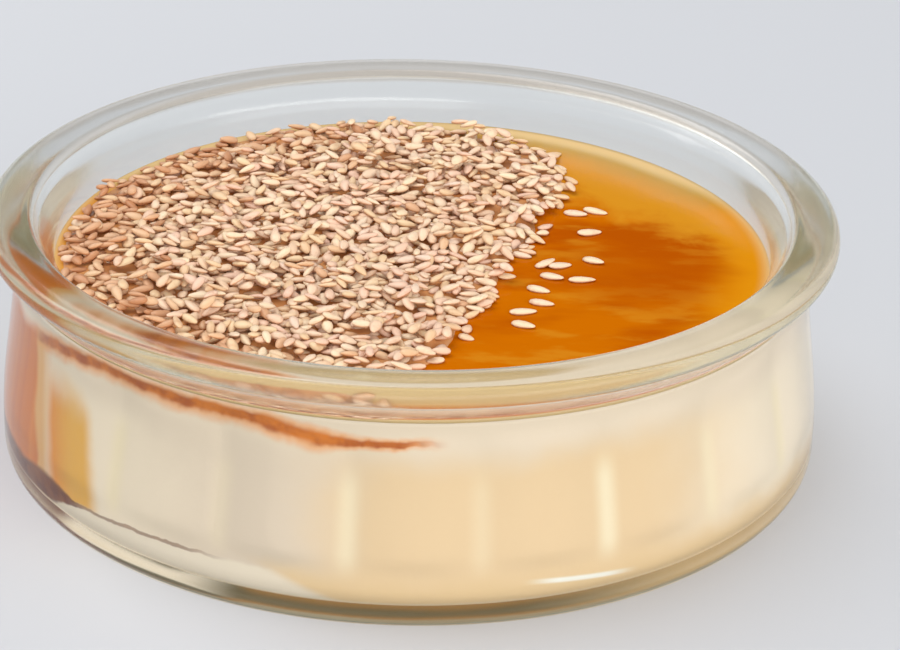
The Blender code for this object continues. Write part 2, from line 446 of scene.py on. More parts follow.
def custard_top(radius):
    """Height of the custard's top: a shallow dish that holds the caramel."""
    share = min(1.0, radius / BOWL_NECK_R)
    return CUSTARD_EDGE_Z - CUSTARD_DISH * (1.0 - share ** DISH_POWER)


def custard_profile():
    """Half section of the custard, from the middle of its top round to its underside."""
    wall_foot = FLOOR_Z + FLOOR_ROUND
    points = [(radius, custard_top(radius)) for radius in evenly(0.0, CUSTARD_DISHED_R, 8)]
    points.append((CUSTARD_TURN_R, CUSTARD_EDGE_Z + 0.1))
    points.append((bowl_radius(CUSTARD_LINE_Z) - CUSTARD_LIP, CUSTARD_LINE_Z - 0.1))
    points += [(bowl_radius(z) + INTO_GLASS, z) for z in evenly(CUSTARD_LINE_Z, wall_foot, 30)]
    points += arc(BOWL_LOW_R - FLOOR_ROUND, wall_foot, FLOOR_ROUND + INTO_GLASS, 0, -90, 12)[1:]
    points += [(r, FLOOR_Z - INTO_GLASS) for r in (24.0, 0.0)]
    return points


def caramel_profile():
    """Half section of the caramel: level on top, climbing the glass a little at its edge."""
    edge = bowl_radius(CARAMEL_TOP_Z) + INTO_GLASS
    points = [(radius, CARAMEL_TOP_Z) for radius in evenly(0.0, CARAMEL_LEVEL_R, 38)]
    for share in evenly(0.0, 1.0, 6)[1:]:
        points.append((CARAMEL_LEVEL_R + (edge - CARAMEL_LEVEL_R) * share,
                       CARAMEL_TOP_Z + CARAMEL_RISE * share ** 4))
    points.append((edge, CUSTARD_LINE_Z))
    points += [(radius, custard_top(radius) + CARAMEL_GAP) for radius in evenly(CUSTARD_DISHED_R, 0.0, 8)]
    return points


# ---------------------------------------------------------------- meshes

def scene_object(name, data):
    """A new object of a mesh, light or camera, in the scene."""
    piece = bpy.data.objects.new(name, data)
    bpy.context.scene.collection.objects.link(piece)
    return piece


def baked(piece):
    """Turns what the modifiers make into the piece's plain mesh."""
    seen = piece.evaluated_get(bpy.context.evaluated_depsgraph_get())
    old = piece.data
    piece.data = bpy.data.meshes.new_from_object(seen)
    piece.modifiers.clear()
    bpy.data.meshes.remove(old)
    return piece


def weld(mesh):
    """Closes seams and poles, and turns the faces outwards."""
    work = bmesh.new()
    work.from_mesh(mesh)
    bmesh.ops.remove_doubles(work, verts=work.verts, dist=MERGE_M)
    bmesh.ops.recalc_face_normals(work, faces=work.faces)
    work.to_mesh(mesh)
    work.free()


def turned(name, profile, steps):
    """A solid of revolution: the profile is screwed once round Z."""
    guide = bpy.data.meshes.new(name)
    corners = [(r * MM, 0.0, z * MM) for r, z in profile]
    guide.from_pydata(corners, [(i, i + 1) for i in range(len(corners) - 1)], [])
    piece = scene_object(name, guide)
    screw = piece.modifiers.new("turn", "SCREW")
    screw.axis = "Z"
    screw.angle = math.tau
    screw.steps = steps
    screw.render_steps = steps
    screw.use_merge_vertices = True
    screw.merge_threshold = MERGE_M
    baked(piece)
    weld(piece.data)
    return piece


def nodes_modifier(piece, tree, values):
    """Adds a Geometry Nodes modifier whose inputs are set by their identifiers."""
    modifier = piece.modifiers.new("nodes", "NODES")
    modifier.node_group = tree
    identifiers = {item.name: item.identifier for item in tree.interface.items_tree
                   if item.item_type == "SOCKET" and item.in_out == "INPUT"}
    for name, value in values.items():
        modifier[identifiers[name]] = value


def fluted(piece, tree, wall_radius, look):
    """Presses the bowl's flutes into a turned piece."""
    nodes_modifier(piece, tree, {
        "Flutes": float(FLUTES), "Depth": FLUTE_DEPTH * MM, "Shift": FLUTE_SHIFT,
        "Bottom": FLUTE_BOTTOM_Z * MM, "Top": FLUTE_TOP_Z * MM, "Fade": FLUTE_FADE * MM,
        "Wall Radius": wall_radius * MM, "Material": look})
    return baked(piece)


def dress(piece, look, node=None):
    """Gives a finished piece its material and ties it to the frame."""
    if not piece.data.materials:
        piece.data.materials.append(look)
    piece.data.shade_smooth()
    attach(piece, ROOT)
    if node:
        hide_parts(node)


# ---------------------------------------------------------------- materials

def new_material(name):
    """An empty material: returns it with its tree, its shader and its Object coordinates."""
    made = bpy.data.materials.new(name)
    made.use_nodes = True
    tree = made.node_tree
    shader = tree.nodes["Principled BSDF"]
    vector = tree.nodes.new("ShaderNodeTexCoord").outputs["Object"]
    return made, tree, shader, vector


def set_sockets(node, values):
    """Sets a shader's sockets by name."""
    for name, value in values.items():
        node.inputs[name].default_value = value


def bump(tree, shader, height, strength, distance):
    """Feeds a height into the shader's normal."""
    node = place(tree, "ShaderNodeBump", {"Strength": strength, "Distance": distance, "Height": height})
    feed(tree, shader.inputs["Normal"], node.outputs["Normal"])


def painted_refraction_lines(tree, vector, where):
    """Share of painted refraction, warm lines that stand in for the contents seen refracted in the rim: a
    line in the tuck under the rim in front, and the lip's edges behind.
    """
    turn, height, reach = (where.outputs[name] for name in ("Turn", "Height", "Reach"))
    uneven = calc(tree, "MULTIPLY_ADD", noise(tree, vector, 60.0), 0.6, height)
    back = step(tree, calc(tree, "ABSOLUTE", turn), 75.0, 110.0)
    front = step(tree, back, 0.0, 1.0, 1.0, 0.0)
    tuck = product(tree, between(tree, uneven, 25.2, 25.9, 0.5), front)
    side = product(tree, between(tree, uneven, 26.6, 27.5, 0.4), step(tree, reach, 44.8, 45.6))
    edge = product(tree, between(tree, uneven, 28.8, 29.4, 0.3), step(tree, reach, 44.6, 44.2))
    lip = product(tree, calc(tree, "MAXIMUM", side, edge), back)
    return calc(tree, "MAXIMUM", tuck, lip)


def pressed_glass(place_group):
    """Clear pressed glass: faint green-grey in its depth, duller at the rim, with slow waves, painted warm
    refraction lines and a faint painted glow deep inside.
    """
    made, tree, shader, vector = new_material("pressed_glass")
    where = use_group(tree, place_group, {"Vector": vector})
    tint = blend_colour(tree, painted_refraction_lines(tree, vector, where), CLEAR_GLASS, PAINTED_REFRACTION_TINT)
    feed(tree, shader.inputs["Base Color"], tint)
    feed(tree, shader.inputs["Roughness"], step(tree, where.outputs["Height"], 23.5, 25.5, 0.11, 0.17))
    set_sockets(shader, {"IOR": 1.5, "Transmission Weight": 1.0, "Metallic": 0.0, "Coat Weight": 0.05,
                        "Coat Roughness": 0.03, "Emission Strength": 1.0})
    bump(tree, shader, noise(tree, vector, 90.0, detail=1.0), 0.12, 0.0006)
    # Painted glow: rays that have bounced a few times inside the glass give off a faint emission, standing
    # in for light trapped in the thick rim
    trapped = step(tree, place(tree, "ShaderNodeLightPath").outputs["Ray Depth"], 2.0, 5.0)
    feed(tree, shader.inputs["Emission Color"], blend_colour(tree, trapped, BLACK, TRAPPED_LIGHT))
    made.cycles.emission_sampling = "NONE"
    depth = place(tree, "ShaderNodeVolumeAbsorption")
    set_sockets(depth, {"Color": GLASS_DEPTH, "Density": GLASS_DENSITY})
    feed(tree, tree.nodes["Material Output"].inputs["Volume"], depth.outputs[0])
    return made


def painted_flute_highlights(tree, at):
    """Painted highlights: soft light lines along the ridges between the flutes, stronger on some than on
    others.
    """
    first = 90.0 + math.degrees(FLUTE_SHIFT)
    half_turns = calc(tree, "MULTIPLY", calc(tree, "SUBTRACT", at.turn, first), math.pi * FLUTES / 360.0)
    across = calc(tree, "ABSOLUTE", calc(tree, "SINE", half_turns))
    ridge = step(tree, across, 0.0, 0.42, 1.0, 0.0)
    upright = place(tree, "ShaderNodeCombineXYZ", {"X": at.turn}).outputs[0]
    strength = step(tree, noise(tree, upright, 0.06, detail=0.0), 0.35, 0.6, 0.35, 1.0)
    top = calc(tree, "MULTIPLY_ADD", at.blotch, -1.0, 18.0)
    return product(tree, ridge, strength, step(tree, at.height, 4.5, 8.0), step(tree, at.height, top, 14.0))


def custard_places(tree, place_group, mottle, vector):
    """What the custard's patterns are laid out by: turn in degrees, height and reach in mm, blotches
    and flecks round 0, a blotchy height and a slant of turn with height."""
    where = use_group(tree, place_group, {"Vector": vector})
    at = SimpleNamespace(turn=where.outputs["Turn"], height=where.outputs["Height"],
                         reach=where.outputs["Reach"])
    blotches = {"Vector": vector, "Broad Scale": 70.0, "Fine Scale": 260.0}
    flecks = {"Vector": vector, "Broad Scale": 420.0, "Fine Scale": 1300.0}
    at.blotch = use_group(tree, mottle, blotches).outputs[0]
    at.fleck = use_group(tree, mottle, flecks).outputs[0]
    at.rise = calc(tree, "MULTIPLY_ADD", at.blotch, 4.0, at.height)
    at.slant = calc(tree, "MULTIPLY_ADD", at.height, 3.0, calc(tree, "SUBTRACT", at.turn, 8.7))
    return at


def cream(tree, at):
    """Cream: warm in front, greyer left of it, pale under the caramel; its paler sides, ridge lines and
    glint are painted light.
    """
    edge = calc(tree, "MULTIPLY_ADD", at.blotch, 14.0, at.turn)
    # Painted light: both ends are painted paler to make up for less light reaching them
    shade = blend_colour(tree, step(tree, edge, -42.0, -24.0), CREAM_SIDE_PAINTED_LIGHT, CREAM_MID)
    shade = blend_colour(tree, step(tree, edge, -18.0, -2.0), shade, CREAM_FRONT)
    shade = blend_colour(tree, step(tree, edge, 32.0, 62.0), shade, CREAM_SIDE_PAINTED_LIGHT)
    shade = blend_colour(tree, step(tree, at.rise, 15.7, 20.2), shade, CREAM_PALE)
    low = product(tree, step(tree, at.rise, 7.0, 3.5), step(tree, at.slant, -14.0, -9.0),
                  step(tree, at.turn, 125.0, 95.0))
    shade = blend_colour(tree, low, shade, CREAM_LOW)
    # Painted highlights along the flute ridges
    shade = blend_colour(tree, painted_flute_highlights(tree, at), shade, CREAM_RIDGE_HIGHLIGHT)
    # Painted glint: a thin pale streak low on the right, standing in for the highlight on the glass foot
    tilted = calc(tree, "MULTIPLY_ADD", at.turn, 0.06, at.height)
    glint = product(tree, between(tree, tilted, 5.3, 5.5, 0.35), between(tree, at.turn, 22.0, 28.0, 6.0))
    return blend_colour(tree, glint, shade, CREAM_GLINT)


def caramel_sheet(tree, at, shade):
    """Caramel that ran down behind the glass on the left: a streaky sheet, a pale line, an amber panel."""
    upright = place(tree, "ShaderNodeCombineXYZ", {"X": at.turn}).outputs[0]
    lean = calc(tree, "MAXIMUM", calc(tree, "SUBTRACT", at.height, 6.0), 0.0)
    near = calc(tree, "MULTIPLY_ADD", lean, 0.3, at.turn)
    near = calc(tree, "MULTIPLY_ADD", at.blotch, 4.0, near)
    far = calc(tree, "MULTIPLY_ADD", lean, -0.8, at.turn)
    far = calc(tree, "MULTIPLY_ADD", at.blotch, 30.0, far)
    sheet = product(tree, step(tree, near, -57.5, -61.5), step(tree, far, -108.0, -98.0),
                    between(tree, at.rise, 3.0, 19.0, 2.0))
    streaky = blend_colour(tree, noise(tree, upright, 0.35), STAIN_DEEP, STAIN_LIGHT)
    streaky = blend_colour(tree, between(tree, near, -62.0, -59.5, 1.5), streaky, STAIN_LINE)
    shade = blend_colour(tree, sheet, shade, streaky)
    panel = product(tree, between(tree, near, -57.0, -49.0, 3.5), step(tree, at.rise, 18.5, 12.5))
    amber = blend_colour(tree, step(tree, near, -59.0, -51.0), STAIN_LIGHT, STAIN_AMBER)
    return blend_colour(tree, panel, shade, amber)


def stain_foot(tree, at, shade):
    """The foot of the stain: a thick brown run on the left that thins to a wavy line, white below."""
    bend = calc(tree, "ADD", at.turn, 29.0)
    foot = calc(tree, "MULTIPLY_ADD", calc(tree, "MULTIPLY", bend, bend), -0.0015, 5.1)
    foot = calc(tree, "MULTIPLY_ADD", at.fleck, 0.7, calc(tree, "MAXIMUM", foot, 2.9))
    above = calc(tree, "SUBTRACT", at.height, foot)
    pale = product(tree, step(tree, above, 0.4, -0.2), step(tree, at.slant, -9.0, -14.0),
                   step(tree, at.turn, -130.0, -100.0))
    shade = blend_colour(tree, pale, shade, CREAM_WHITE)
    width = step(tree, at.turn, -60.0, -49.5, 1.7, 0.2)
    off = calc(tree, "DIVIDE", calc(tree, "ABSOLUTE", above), width)
    line = product(tree, step(tree, off, 0.7, 1.2, 1.0, 0.0), between(tree, at.turn, -110.0, -32.0, 10.0),
                   step(tree, at.turn, -54.0, -48.0, 1.0, 0.6))
    brown = blend_colour(tree, step(tree, at.fleck, -0.2, 0.25), STAIN_BROWN, STAIN_FOOT)
    return blend_colour(tree, line, shade, brown)


def seep_line(tree, at, shade):
    """Caramel that seeped along the custard's upper edge: a brown line with a soft orange halo."""
    level = step(tree, at.turn, -72.0, -46.0, SEEP_Z - 1.8, SEEP_Z)
    level = calc(tree, "SUBTRACT", level, step(tree, at.turn, -24.0, -10.0, 0.0, 1.25))
    level = calc(tree, "MULTIPLY_ADD", at.blotch, 1.2, level)
    level = calc(tree, "MULTIPLY_ADD", at.fleck, 0.9, level)
    off = calc(tree, "ABSOLUTE", calc(tree, "SUBTRACT", at.height, level))
    off = calc(tree, "MULTIPLY", off, step(tree, at.turn, -13.0, -3.0, 1.1, 2.2))
    along = between(tree, at.turn, -62.0, -1.0, 8.0)
    halo = product(tree, step(tree, off, 0.8, 2.1, 0.6, 0.0), along)
    shade = blend_colour(tree, halo, shade, STAIN_LIGHT)
    line = product(tree, step(tree, off, 0.35, 1.1, 1.0, 0.0), along)
    brown = blend_colour(tree, step(tree, at.fleck, -0.2, 0.2), SEEP_DARK, SEEP)
    return blend_colour(tree, line, shade, brown)


def painted_foot_shade(tree, at):
    """The custard's underside, seen through the foot: painted shade for the dark band that the thick glass
    foot shows, the share of it left unshaded, and how far the shaded ring covers it."""
    seen = calc(tree, "MULTIPLY_ADD", between(tree, at.turn, -100.0, -44.0, 20.0), 9.0, at.reach)
    under_shade = blend_colour(tree, step(tree, seen, 32.8, 34.6), FOOT_SHADE_BROWN, FOOT_SHADE_OLIVE)
    under_shade = blend_colour(tree, between(tree, at.turn, 55.0, 100.0, 40.0), under_shade, FOOT_SHADE_TAN)
    under_shade = blend_colour(tree, between(tree, at.turn, -100.0, -65.0, 4.0), under_shade, STAIN_BROWN)
    inward = calc(tree, "ADD", at.reach, step(tree, at.turn, -42.0, -31.0, 0.0, 2.4))
    unshaded = product(tree, step(tree, inward, 33.8, 34.3), step(tree, at.turn, -67.0, -61.0),
                    step(tree, at.turn, -26.0, -42.0))
    return blend_colour(tree, unshaded, under_shade, CREAM_WHITE), unshaded, step(tree, seen, 29.0, 31.5)


def baked_custard(place_group, mottle):
    """Baked custard seen through the glass, with caramel stains on its left."""
    made, tree, shader, vector = new_material("baked_custard")
    at = custard_places(tree, place_group, mottle, vector)
    shade = cream(tree, at)
    for stain in (caramel_sheet, stain_foot, seep_line):
        shade = stain(tree, at, shade)
    under_shade, unshaded, ring = painted_foot_shade(tree, at)
    # Painted shade on the underside, in a ring where the glass foot shows it dark
    under = step(tree, at.height, 2.5, 1.75)
    shade = blend_colour(tree, product(tree, under, ring), shade, under_shade)
    feed(tree, shader.inputs["Base Color"], shade)

    # Painted glow: emission on the underside stands in for the light that reaches it through the glass foot
    # and the custard
    glow = blend_colour(tree, ring, GLOW_DIM, blend_colour(tree, unshaded, under_shade, GLOW_UNSHADED))
    glow = blend_colour(tree, step(tree, at.reach, 34.5, 38.0), glow, GLOW)
    feed(tree, shader.inputs["Emission Color"], blend_colour(tree, under, BLACK, glow))
    set_sockets(shader, {"Roughness": 0.5, "Specular IOR Level": 0.3, "Emission Strength": 0.55})
    bump(tree, shader, noise(tree, vector, 900.0, detail=3.0), 0.15, 0.0002)
    return made


def liquid_caramel(place_group, mottle):
    """Liquid caramel over custard: dark where it is deep, with painted golden reflection at the back and in
    streaks, pale at its margin.
    """
    made, tree, shader, vector = new_material("liquid_caramel")
    reach = use_group(tree, place_group, {"Vector": vector}).outputs["Reach"]
    drawn = place(tree, "ShaderNodeMapping", {"Vector": vector, "Scale": (1.0, 2.4, 1.0)}).outputs[0]
    blotches = {"Vector": drawn, "Broad Scale": 42.0, "Fine Scale": 150.0}
    blotch = use_group(tree, mottle, blotches).outputs[0]
    parts = place(tree, "ShaderNodeSeparateXYZ", {0: vector})
    x, y = (calc(tree, "DIVIDE", length, MM) for length in parts.outputs[:2])

    # The deep pool, with painted streaks of golden sheen and its darkest spot
    shade = blend_colour(tree, step(tree, blotch, -0.14, 0.14), CARAMEL_DEEP, CARAMEL)
    sheen_streak = step(tree, noise(tree, drawn, 110.0, detail=4.0), 0.5, 0.66, 0.0, 0.5)
    shade = blend_colour(tree, sheen_streak, shade, CARAMEL_GOLD_SHEEN)
    flat = place(tree, "ShaderNodeCombineXYZ", {"X": x, "Y": y}).outputs[0]
    spot = place(tree, "ShaderNodeVectorMath", {0: flat, 1: DARK_SPOT}, operation="DISTANCE")
    near_spot = step(tree, spot.outputs["Value"], 4.0, 14.0, 0.7, 0.0)
    shade = blend_colour(tree, near_spot, shade, CARAMEL_DEEP)

    # Painted reflection of the back wall in gold at the back, thinner towards the wall, and a film where it
    # meets the glass
    ragged = noise(tree, vector, 75.0, detail=4.0, roughness=0.65, distortion=0.6)
    back = calc(tree, "MULTIPLY_ADD", ragged, 20.0, calc(tree, "MULTIPLY_ADD", x, 0.9, y))
    shade = blend_colour(tree, step(tree, back, 41.0, 49.0), shade, CARAMEL_GOLD_SHEEN)
    thin = blend_colour(tree, step(tree, y, 12.0, 22.0), CARAMEL_THIN, CARAMEL_EDGE)
    outward = calc(tree, "MULTIPLY_ADD", blotch, 4.0, reach)
    shade = blend_colour(tree, step(tree, outward, 33.0, 40.5), shade, thin)
    margin = calc(tree, "MULTIPLY_ADD", step(tree, y, -16.0, -26.0), 3.0, reach)
    margin = calc(tree, "MULTIPLY_ADD", step(tree, y, 14.0, 28.0), 1.6, margin)
    shade = blend_colour(tree, step(tree, margin, 39.6, 42.2), shade, CARAMEL_FILM)
    feed(tree, shader.inputs["Base Color"], shade)
    set_sockets(shader, {"Roughness": 0.1, "Specular IOR Level": 0.02})
    bump(tree, shader, noise(tree, vector, 140.0), 0.1, 0.0008)
    return made


def toasted_sesame(mottle):
    """Toasted hulled sesame: a tone for each seed, darker blotches and painted shade on its underside, with
    a syrup film.
    """
    made, tree, shader, vector = new_material("toasted_sesame")
    tone = place(tree, "ShaderNodeAttribute", attribute_name="tone").outputs["Fac"]
    ramp = place(tree, "ShaderNodeValToRGB", {"Fac": tone})
    stops = ramp.color_ramp.elements
    stops[0].color = linear(*SEED_TONES[0][1])
    stops[1].color = linear(*SEED_TONES[-1][1])
    for position, colour in SEED_TONES[1:-1]:
        stops.new(position).color = linear(*colour)
    blotches = {"Vector": vector, "Broad Scale": 700.0, "Fine Scale": 2600.0}
    blotch = use_group(tree, mottle, blotches).outputs[0]
    dim = step(tree, blotch, 0.0, -0.3, 0.0, 0.35)
    shade = blend_colour(tree, dim, ramp.outputs["Color"], SEED_BLOTCH)
    # Browner where the seed faces down: painted contact shade, and the syrup film it sits in
    normal = place(tree, "ShaderNodeNewGeometry").outputs["Normal"]
    facing = place(tree, "ShaderNodeSeparateXYZ", {0: normal}).outputs["Z"]
    shade = blend_colour(tree, step(tree, facing, 0.3, -0.2, 0.0, 0.6), shade, SEED_UNDERSIDE_SHADE)
    feed(tree, shader.inputs["Base Color"], shade)
    set_sockets(shader, {"Roughness": 0.42, "Specular IOR Level": 0.4})
    bump(tree, shader, blotch, 0.3, 0.0002)
    return made


def dark_syrup():
    """The dark syrup between the seeds."""
    made, tree, shader, vector = new_material("dark_syrup")
    shade = blend_colour(tree, noise(tree, vector, 300.0), SYRUP_DEEP, SYRUP_LIGHT)
    feed(tree, shader.inputs["Base Color"], shade)
    set_sockets(shader, {"Roughness": 0.25})
    return made


# ---------------------------------------------------------------- sesame

def bed_border(y):
    """X of the sesame bed's right-hand border at this y."""
    back = max(0.0, y / BED_HALF_LENGTH) ** BED_PULL_POWER
    front = max(0.0, -y / BED_HALF_LENGTH) ** BED_PULL_POWER
    ragged = sum(height * math.sin(turn * y + start) for height, turn, start in BED_RAGGED)
    return BED_BORDER_X + BED_BORDER_SLANT * y + ragged - BED_BACK_PULL * back - BED_FRONT_PULL * front


def seed_reach(x, y, heading, length, width):
    """How far out from the axis a flat seed reaches."""
    off = heading - math.atan2(y, x)
    return math.hypot(x, y) + math.hypot(length / 2 * math.cos(off), width / 2 * math.sin(off))


class Ground:
    """Height of what already lies in the dish, on a square grid, in mm."""
    CELL = 0.2
    HALF = 42.0

    def __init__(self, level):
        count = int(2 * self.HALF / self.CELL) + 1
        self.heights = np.full((count, count), level)
        self.line = np.linspace(-self.HALF, self.HALF, count)

    def index(self, value):
        """Row or column of the grid at this x or y."""
        return int(round((value + self.HALF) / self.CELL))

    def lay(self, x, y, heading, size, jolt, steepest):
        """Lays a seed down: it tips with what is under it. Returns its height and its two slopes."""
        length, width, thickness = size
        reach = int(length / 2 / self.CELL) + 1
        i, j = self.index(x), self.index(y)
        rows = slice(max(i - reach, 0), i + reach + 1)
        columns = slice(max(j - reach, 0), j + reach + 1)
        dx, dy = np.meshgrid(self.line[rows] - x, self.line[columns] - y, indexing="ij")
        along = (dx * math.cos(heading) + dy * math.sin(heading)) / (length / 2)
        across = (dy * math.cos(heading) - dx * math.sin(heading)) / (width / 2)
        cover = along ** 2 + across ** 2
        under = cover < 1.0
        ground = self.heights[rows, columns]
        design = np.stack([dx[under], dy[under], np.ones(under.sum())], axis=1)
        slope_x, slope_y, _ = np.linalg.lstsq(design, ground[under], rcond=None)[0]
        slope_x += jolt[0]
        slope_y += jolt[1]
        steep = math.hypot(slope_x, slope_y)
        if steep > steepest:
            slope_x, slope_y = slope_x * steepest / steep, slope_y * steepest / steep
        half = thickness / 2 * np.sqrt(np.clip(1.0 - cover, 0.0, None))
        plane = slope_x * dx + slope_y * dy
        middle = (ground + half - plane)[under].max() - SEED_SINK
        top = middle + plane + half
        ground[under] = np.maximum(ground[under], top[under])
        return middle, slope_x, slope_y


def seed_turn(heading, slope_x, slope_y):
    """Euler angles of a seed that points along its heading on a sloping bed."""
    up = Vector((-slope_x, -slope_y, 1.0)).normalized()
    along = Vector((math.cos(heading), math.sin(heading), 0.0))
    along = (along - up * along.dot(up)).normalized()
    turn = Matrix((along, up.cross(along), up)).transposed()
    return tuple(turn.to_euler("XYZ"))


def seed_size(rng):
    """Length, width and thickness of one seed."""
    means = (SEED_LENGTH, SEED_WIDTH, SEED_THICKNESS)
    return tuple(mean * rng.normal(1.0, spread) for mean, spread in zip(means, SEED_SPREADS))


def bed_wall(y):
    """How far out from the axis the bed reaches: short of the wall in front."""
    return BED_WALL_R - BED_WALL_DRAW_IN * ease((BED_FRONT_Y - y) / BED_FRONT_FADE)


def bed_depth(x, y):
    """How deep the bed is heaped at this place, in mm above the caramel."""
    from_border = ease((bed_border(y) - x - BED_HEAP_INWARD) / BED_HEAP_FADE)
    from_wall = ease((BED_HEAP_R - math.hypot(x, y)) / BED_HEAP_FADE)
    return BED_THIN + BED_HEAP * from_border * from_wall


def heaped_seeds(rng, ground):
    """Seeds dropped one by one onto the lower of two places, until little of the bed is bare."""
    inside = [(i, j, bed_depth(x, y)) for i, x in enumerate(ground.line) for j, y in enumerate(ground.line)
              if math.hypot(x, y) < bed_wall(y) and x < bed_border(y)]
    rows, columns = np.array([cell[:2] for cell in inside]).T
    full = CARAMEL_TOP_Z + np.array([cell[2] for cell in inside])
    seeds = []
    while len(seeds) < MOST_SEEDS:
        levels = ground.heights[rows, columns]
        if np.mean(levels < CARAMEL_TOP_Z + BARE_DEPTH) < BED_BARE:
            break
        free = np.flatnonzero(levels < full)
        spot = min(rng.choice(free, 2), key=lambda cell: levels[cell] - full[cell])
        x, y = ground.line[rows[spot]] + rng.normal(0.0, SEED_SHIFT), ground.line[columns[spot]]
        size = seed_size(rng)
        heading = rng.uniform(0.0, math.tau)
        if seed_reach(x, y, heading, size[0], size[1]) > bed_wall(y):
            continue
        jolt = rng.normal(0.0, BED_JOLT, 2)
        z, slope_x, slope_y = ground.lay(x, y, heading, size, jolt, BED_STEEPEST)
        tone = bed_tone(rng, x, y, z - CARAMEL_TOP_Z)
        seeds.append(((x, y, z), seed_turn(heading, slope_x, slope_y), size, tone))
    return seeds


def bed_tone(rng, x, y, rise):
    """Tone of a seed: darker low in the bed, and where caramel has soaked in near the left wall."""
    soaked = ease((math.hypot(x, y) - SOAKED_R) / 12.0) * ease((SOAKED_X - x) / 22.0)
    low = 1.0 - ease((rise - 0.3) / 0.5)
    tone = rng.normal(TONE, TONE_SPREAD) - TONE_SOAKED * soaked - TONE_LOW * low
    return float(np.clip(tone, 0.0, 1.0))


def seed_group():
    """Geometry Nodes: one teardrop seed on every point, turned and sized by its attributes."""
    tree, given, result = new_group(
        "Sesame Seeds", "GeometryNodeTree",
        [("Geometry", "Geometry"), ("Sides", "Int"), ("Rings", "Int"), ("Taper", "Float"),
         ("Tip", "Float"), ("Material", "Material")],
        [("Geometry", "Geometry")])
    given = given.outputs
    ball = place(tree, "GeometryNodeMeshUVSphere",
                 {"Segments": given["Sides"], "Rings": given["Rings"], "Radius": 0.5})
    laid = place(tree, "GeometryNodeTransform",
                 {"Geometry": ball.outputs[0], "Rotation": (0.0, math.pi / 2, 0.0)})
    position = place(tree, "GeometryNodeInputPosition").outputs[0]
    parts = place(tree, "ShaderNodeSeparateXYZ", {0: position})
    x, y, z = parts.outputs
    slim = calc(tree, "MULTIPLY_ADD", calc(tree, "MULTIPLY", x, -2.0), given["Taper"], 1.0)
    point = calc(tree, "POWER", calc(tree, "MAXIMUM", calc(tree, "MULTIPLY", x, 2.0), 0.0), 3.0)
    long = calc(tree, "MULTIPLY_ADD", point, calc(tree, "MULTIPLY", given["Tip"], 0.5), x)
    y, z = calc(tree, "MULTIPLY", y, slim), calc(tree, "MULTIPLY", z, slim)
    drop = place(tree, "ShaderNodeCombineXYZ", {"X": long, "Y": y, "Z": z})
    shape = place(tree, "GeometryNodeSetPosition",
                  {"Geometry": laid.outputs[0], "Position": drop.outputs[0]})
    smooth = place(tree, "GeometryNodeSetShadeSmooth", {"Geometry": shape.outputs[0]})
    turn = place(tree, "GeometryNodeInputNamedAttribute", {"Name": "turn"}, data_type="FLOAT_VECTOR")
    size = place(tree, "GeometryNodeInputNamedAttribute", {"Name": "size"}, data_type="FLOAT_VECTOR")
    heading = place(tree, "FunctionNodeEulerToRotation", {0: turn.outputs[0]})
    strewn = place(tree, "GeometryNodeInstanceOnPoints",
                   {"Points": given["Geometry"], "Instance": smooth.outputs[0],
                    "Rotation": heading.outputs[0], "Scale": size.outputs[0]})
    real = place(tree, "GeometryNodeRealizeInstances", {"Geometry": strewn.outputs[0]})
    coated = place(tree, "GeometryNodeSetMaterial",
                   {"Geometry": real.outputs[0], "Material": given["Material"]})
    feed(tree, result.inputs["Geometry"], coated.outputs[0])
    return tree


def strewn_seeds(name, tree, seeds, look):
    """A piece made of all these seeds."""
    spots = bpy.data.meshes.new(name)
    spots.from_pydata([[value * MM for value in spot] for spot, _, _, _ in seeds], [], [])
    turn = spots.attributes.new("turn", "FLOAT_VECTOR", "POINT")
    turn.data.foreach_set("vector", [value for seed in seeds for value in seed[1]])
    size = spots.attributes.new("size", "FLOAT_VECTOR", "POINT")
    size.data.foreach_set("vector", [value * MM for seed in seeds for value in seed[2]])
    tone = spots.attributes.new("tone", "FLOAT", "POINT")
    tone.data.foreach_set("value", [seed[3] for seed in seeds])
    piece = scene_object(name, spots)
    nodes_modifier(piece, tree, {"Sides": SEED_SIDES, "Rings": SEED_RINGS, "Taper": SEED_TAPER,
                                 "Tip": SEED_TIP, "Material": look})
    return baked(piece)


# Loose seeds on the caramel: x and y in mm, heading in degrees, length and width as shares
LOOSE_SEEDS = (
    (20.7, 6.9, 18.0, 1.05, 1.0), (20.9, -1.3, -32.0, 0.95, 1.05), (19.4, -6.8, 4.0, 1.08, 0.85),
    (17.0, -3.0, 22.0, 1.0, 0.95), (16.0, -6.1, -24.0, 1.0, 1.0), (15.3, -2.8, 35.0, 0.95, 1.0),
    (12.6, -15.9, 10.0, 1.08, 0.95), (12.6, -19.3, -28.0, 1.0, 1.0), (19.2, 12.6, -12.0, 1.0, 0.95),
    (21.6, 13.4, -20.0, 1.05, 0.9), (14.7, -13.4, -14.0, 1.0, 0.9), (14.4, -9.8, -20.0, 0.95, 0.9),
)


def loose_seeds(rng, ground):
    """The few seeds that lie apart on the caramel."""
    seeds = []
    for x, y, degrees, long, wide in LOOSE_SEEDS:
        size = (SEED_LENGTH * LOOSE_GROWTH * long, SEED_WIDTH * LOOSE_GROWTH * wide, SEED_THICKNESS)
        heading = math.radians(degrees)
        jolt = rng.normal(0.0, LOOSE_JOLT, 2)
        z, slope_x, slope_y = ground.lay(x, y, heading, size, jolt, LOOSE_STEEPEST)
        tone = rng.uniform(*LOOSE_TONES)
        seeds.append(((x, y, z), seed_turn(heading, slope_x, slope_y), size, tone))
    return seeds


